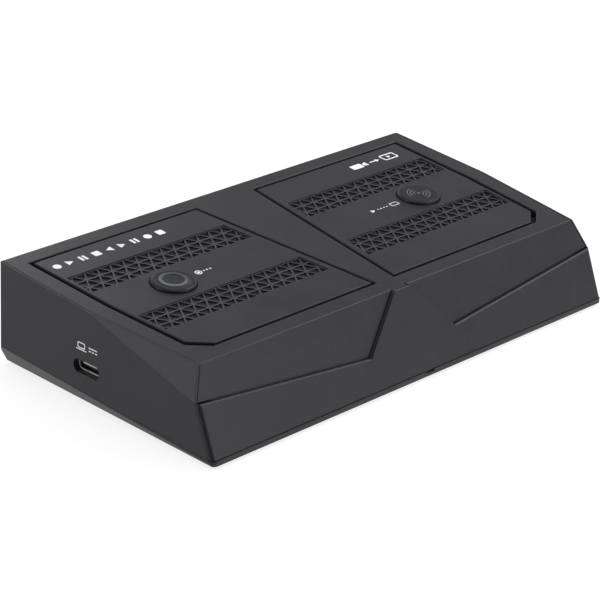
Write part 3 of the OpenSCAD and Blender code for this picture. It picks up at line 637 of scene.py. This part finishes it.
def make_sockets(materials):
    make_usb_c(materials)
    for name, x in VIDEO_PLACES:
        place = face_frame((x, VIDEO_Y, VIDEO_Z), (1, 0, 0), UP)
        liner(name + "_liner", place, video_shape(0.31), video_shape(0.43), 0.5, 10.6, materials)
        sleeve(name + "_sleeve", place, 11.56, 1.36, 0.0, 10.55, materials)
        contacts(name + "_contacts", place,
                 [(10, 1.0, 0.45, 0.68, 1, 0.7, 8.0), (9, 1.0, 0.45, -0.68, -1, 0.7, 8.0)],
                 materials)
    liner("usb_host_liner", USB_HOST_MOUTH, centred(12.48, 5.08), centred(12.24, 4.84), 0.6, 13.6,
          materials)
    sleeve("usb_host_sleeve", USB_HOST_MOUTH, 11.26, 1.96, 1.14, 13.5, materials)
    contacts("usb_host_contacts", USB_HOST_MOUTH, [(4, 2.35, 1.1, 0.16, -1, 0.9, 9.0)], materials)
    liner("card_liner", CARD_MOUTH, centred(11.38, 1.08), centred(11.22, 0.92), 0.3, 14.6,
          materials)
    for name, x in JACK_PLACES:
        place = face_frame((x, JACK_Y, JACK_Z), (1, 0, 0), UP)
        bm = bmesh.new()
        band(bm, circle(0, 0, 1.82), circle(0, 0, 1.62), 0.35, 1.6)
        finish_piece(name + "_jack_ring", bm, place, "case", materials["gold"])


# Studio, in metres
SKY_STOPS = ((0.0, 1.0), (0.12, 1.0), (0.4, 0.235), (0.75, 0.235), (1.0, 0.45))
SKY_TINT = (0.97, 0.98, 1.0, 1)
SKY_LIGHT = 0.72
FLOOR_SIZE = 3.0
FLOOR_COLOUR = (0.85, 0.85, 0.85, 1)
FLOOR_SEEN = (0.25, 0.25, 0.25, 1)  # with the glow, what a camera sees
FLOOR_GLOW = 0.8
MATT = 0.9                       # roughness of the floor and the cards
LAMP_TARGET = (0, 0, 0.01)
LAMPS = (                        # name, place, side, watts
    ("key", (0.66, -0.2, 0.74), 0.45, 4.0),
    ("top_fill", (-0.05, 0.0, 1.0), 0.5, 2.2),
    ("left_fill", (-0.82, 0.42, 0.4), 0.6, 2.0),
    ("back_fill", (0.34, 0.82, 0.52), 0.5, 1.15),
    ("front_fill", (0.35, -0.92, 0.2), 0.6, 1.8),
)
FLAG_TOWARDS = (-0.658, -0.640, 0.397)
FLAG_AWAY = 0.42
RIGHT_CARD_FACES = (-0.8, 0.6, 0)


def seen_rays(nodes, links):
    """1 for the rays that show the background: camera, glossy and transmission rays."""
    path = nodes.new("ShaderNodeLightPath")
    seen = math_node(nodes, links, "MAXIMUM", path.outputs["Is Camera Ray"],
                     path.outputs["Is Glossy Ray"])
    return math_node(nodes, links, "MAXIMUM", seen, path.outputs["Is Transmission Ray"])


def make_world():
    world = bpy.data.worlds.new("studio")
    scene.world = world
    world.use_nodes = True
    nodes = world.node_tree.nodes
    links = world.node_tree.links
    nodes.clear()
    out = nodes.new("ShaderNodeOutputWorld")
    coord = nodes.new("ShaderNodeTexCoord")
    split = nodes.new("ShaderNodeSeparateXYZ")
    links.new(coord.outputs["Generated"], split.inputs[0])
    soft = add(nodes, "ShaderNodeBackground", Color=SKY_TINT, Strength=SKY_LIGHT)
    white = add(nodes, "ShaderNodeBackground", Strength=1.0)
    links.new(grey_ramp(nodes, links, split.outputs["Z"], SKY_STOPS), white.inputs["Color"])
    mix = nodes.new("ShaderNodeMixShader")
    links.new(seen_rays(nodes, links), mix.inputs["Fac"])
    links.new(soft.outputs["Background"], mix.inputs[1])
    links.new(white.outputs["Background"], mix.inputs[2])
    links.new(mix.outputs["Shader"], out.inputs["Surface"])


def make_light(name, place, side, power):
    data = bpy.data.lights.new(name, "AREA")
    data.shape = "RECTANGLE"
    data.size = data.size_y = side
    data.energy = power
    obj = bpy.data.objects.new(name, data)
    scene.collection.objects.link(obj)
    obj.location = place
    obj.rotation_mode = "QUATERNION"
    obj.rotation_quaternion = (Vector(LAMP_TARGET) - Vector(place)).to_track_quat("-Z", "Y")


def stage_sheet(name, size, place, material):
    bm = bmesh.new()
    bmesh.ops.create_grid(bm, x_segments=4, y_segments=4, size=size)
    mesh = bpy.data.meshes.new(name)
    bm.to_mesh(mesh)
    bm.free()
    mesh.transform(place)
    mesh.materials.append(material)
    obj = bpy.data.objects.new(name, mesh)
    scene.collection.objects.link(obj)
    return obj


def floor_material():
    """Floor that looks white and still takes the object's shadow."""
    mat, nodes, links, shader = new_material("floor_white")
    shader.inputs["Base Color"].default_value = FLOOR_COLOUR
    shader.inputs["Roughness"].default_value = MATT
    shader.inputs["Specular IOR Level"].default_value = 0.0
    glow = add(nodes, "ShaderNodeEmission", Strength=FLOOR_GLOW)
    pale = add(nodes, "ShaderNodeBsdfDiffuse", Color=FLOOR_SEEN)
    both = nodes.new("ShaderNodeAddShader")
    links.new(glow.outputs[0], both.inputs[0])
    links.new(pale.outputs[0], both.inputs[1])
    mix = nodes.new("ShaderNodeMixShader")
    links.new(seen_rays(nodes, links), mix.inputs["Fac"])
    links.new(shader.outputs[0], mix.inputs[1])
    links.new(both.outputs[0], mix.inputs[2])
    links.new(mix.outputs[0], nodes["Material Output"].inputs["Surface"])
    return mat


def hidden_card(name, size, place, level):
    """Grey card out of the camera's sight, for the faces to mirror."""
    grey, _, _, shader = new_material(name + "_grey")
    shader.inputs["Base Color"].default_value = (0.0, 0.0, 0.0, 1)
    shader.inputs["Roughness"].default_value = MATT
    shader.inputs["Specular IOR Level"].default_value = 0.0
    shader.inputs["Emission Color"].default_value = (1, 1, 1, 1)
    shader.inputs["Emission Strength"].default_value = level
    card = stage_sheet(name, size, place, grey)
    card.visible_camera = False
    card.visible_diffuse = False
    card.visible_shadow = False
    return card


def facing(direction):
    return Vector(direction).to_track_quat("Z", "Y").to_matrix().to_4x4()


def make_studio():
    make_world()
    for lamp in LAMPS:
        make_light(*lamp)
    stage_sheet("floor", FLOOR_SIZE, Matrix.Identity(4), floor_material())
    away = Matrix.Translation(Vector(FLAG_TOWARDS) * FLAG_AWAY)
    flag = hidden_card("flag", 0.29, away @ facing(FLAG_TOWARDS), 0.12)
    flag.visible_diffuse = True
    flag.visible_shadow = True
    hidden_card("left_card", 0.2, Matrix.Translation((-0.2525, 0.162, 0.0004)), 0.7)
    hidden_card("front_card", 0.2, Matrix.Translation((-0.274, -0.2395, 0.0004)), 0.06)
    beside = Matrix.Translation((0.75, -0.56, 0.3))
    hidden_card("right_card", 0.3, beside @ facing(RIGHT_CARD_FACES), 0.5)


make_camera()
materials = make_materials()
dress_nodes(materials)
make_marks(materials)
make_sockets(materials)
make_studio()
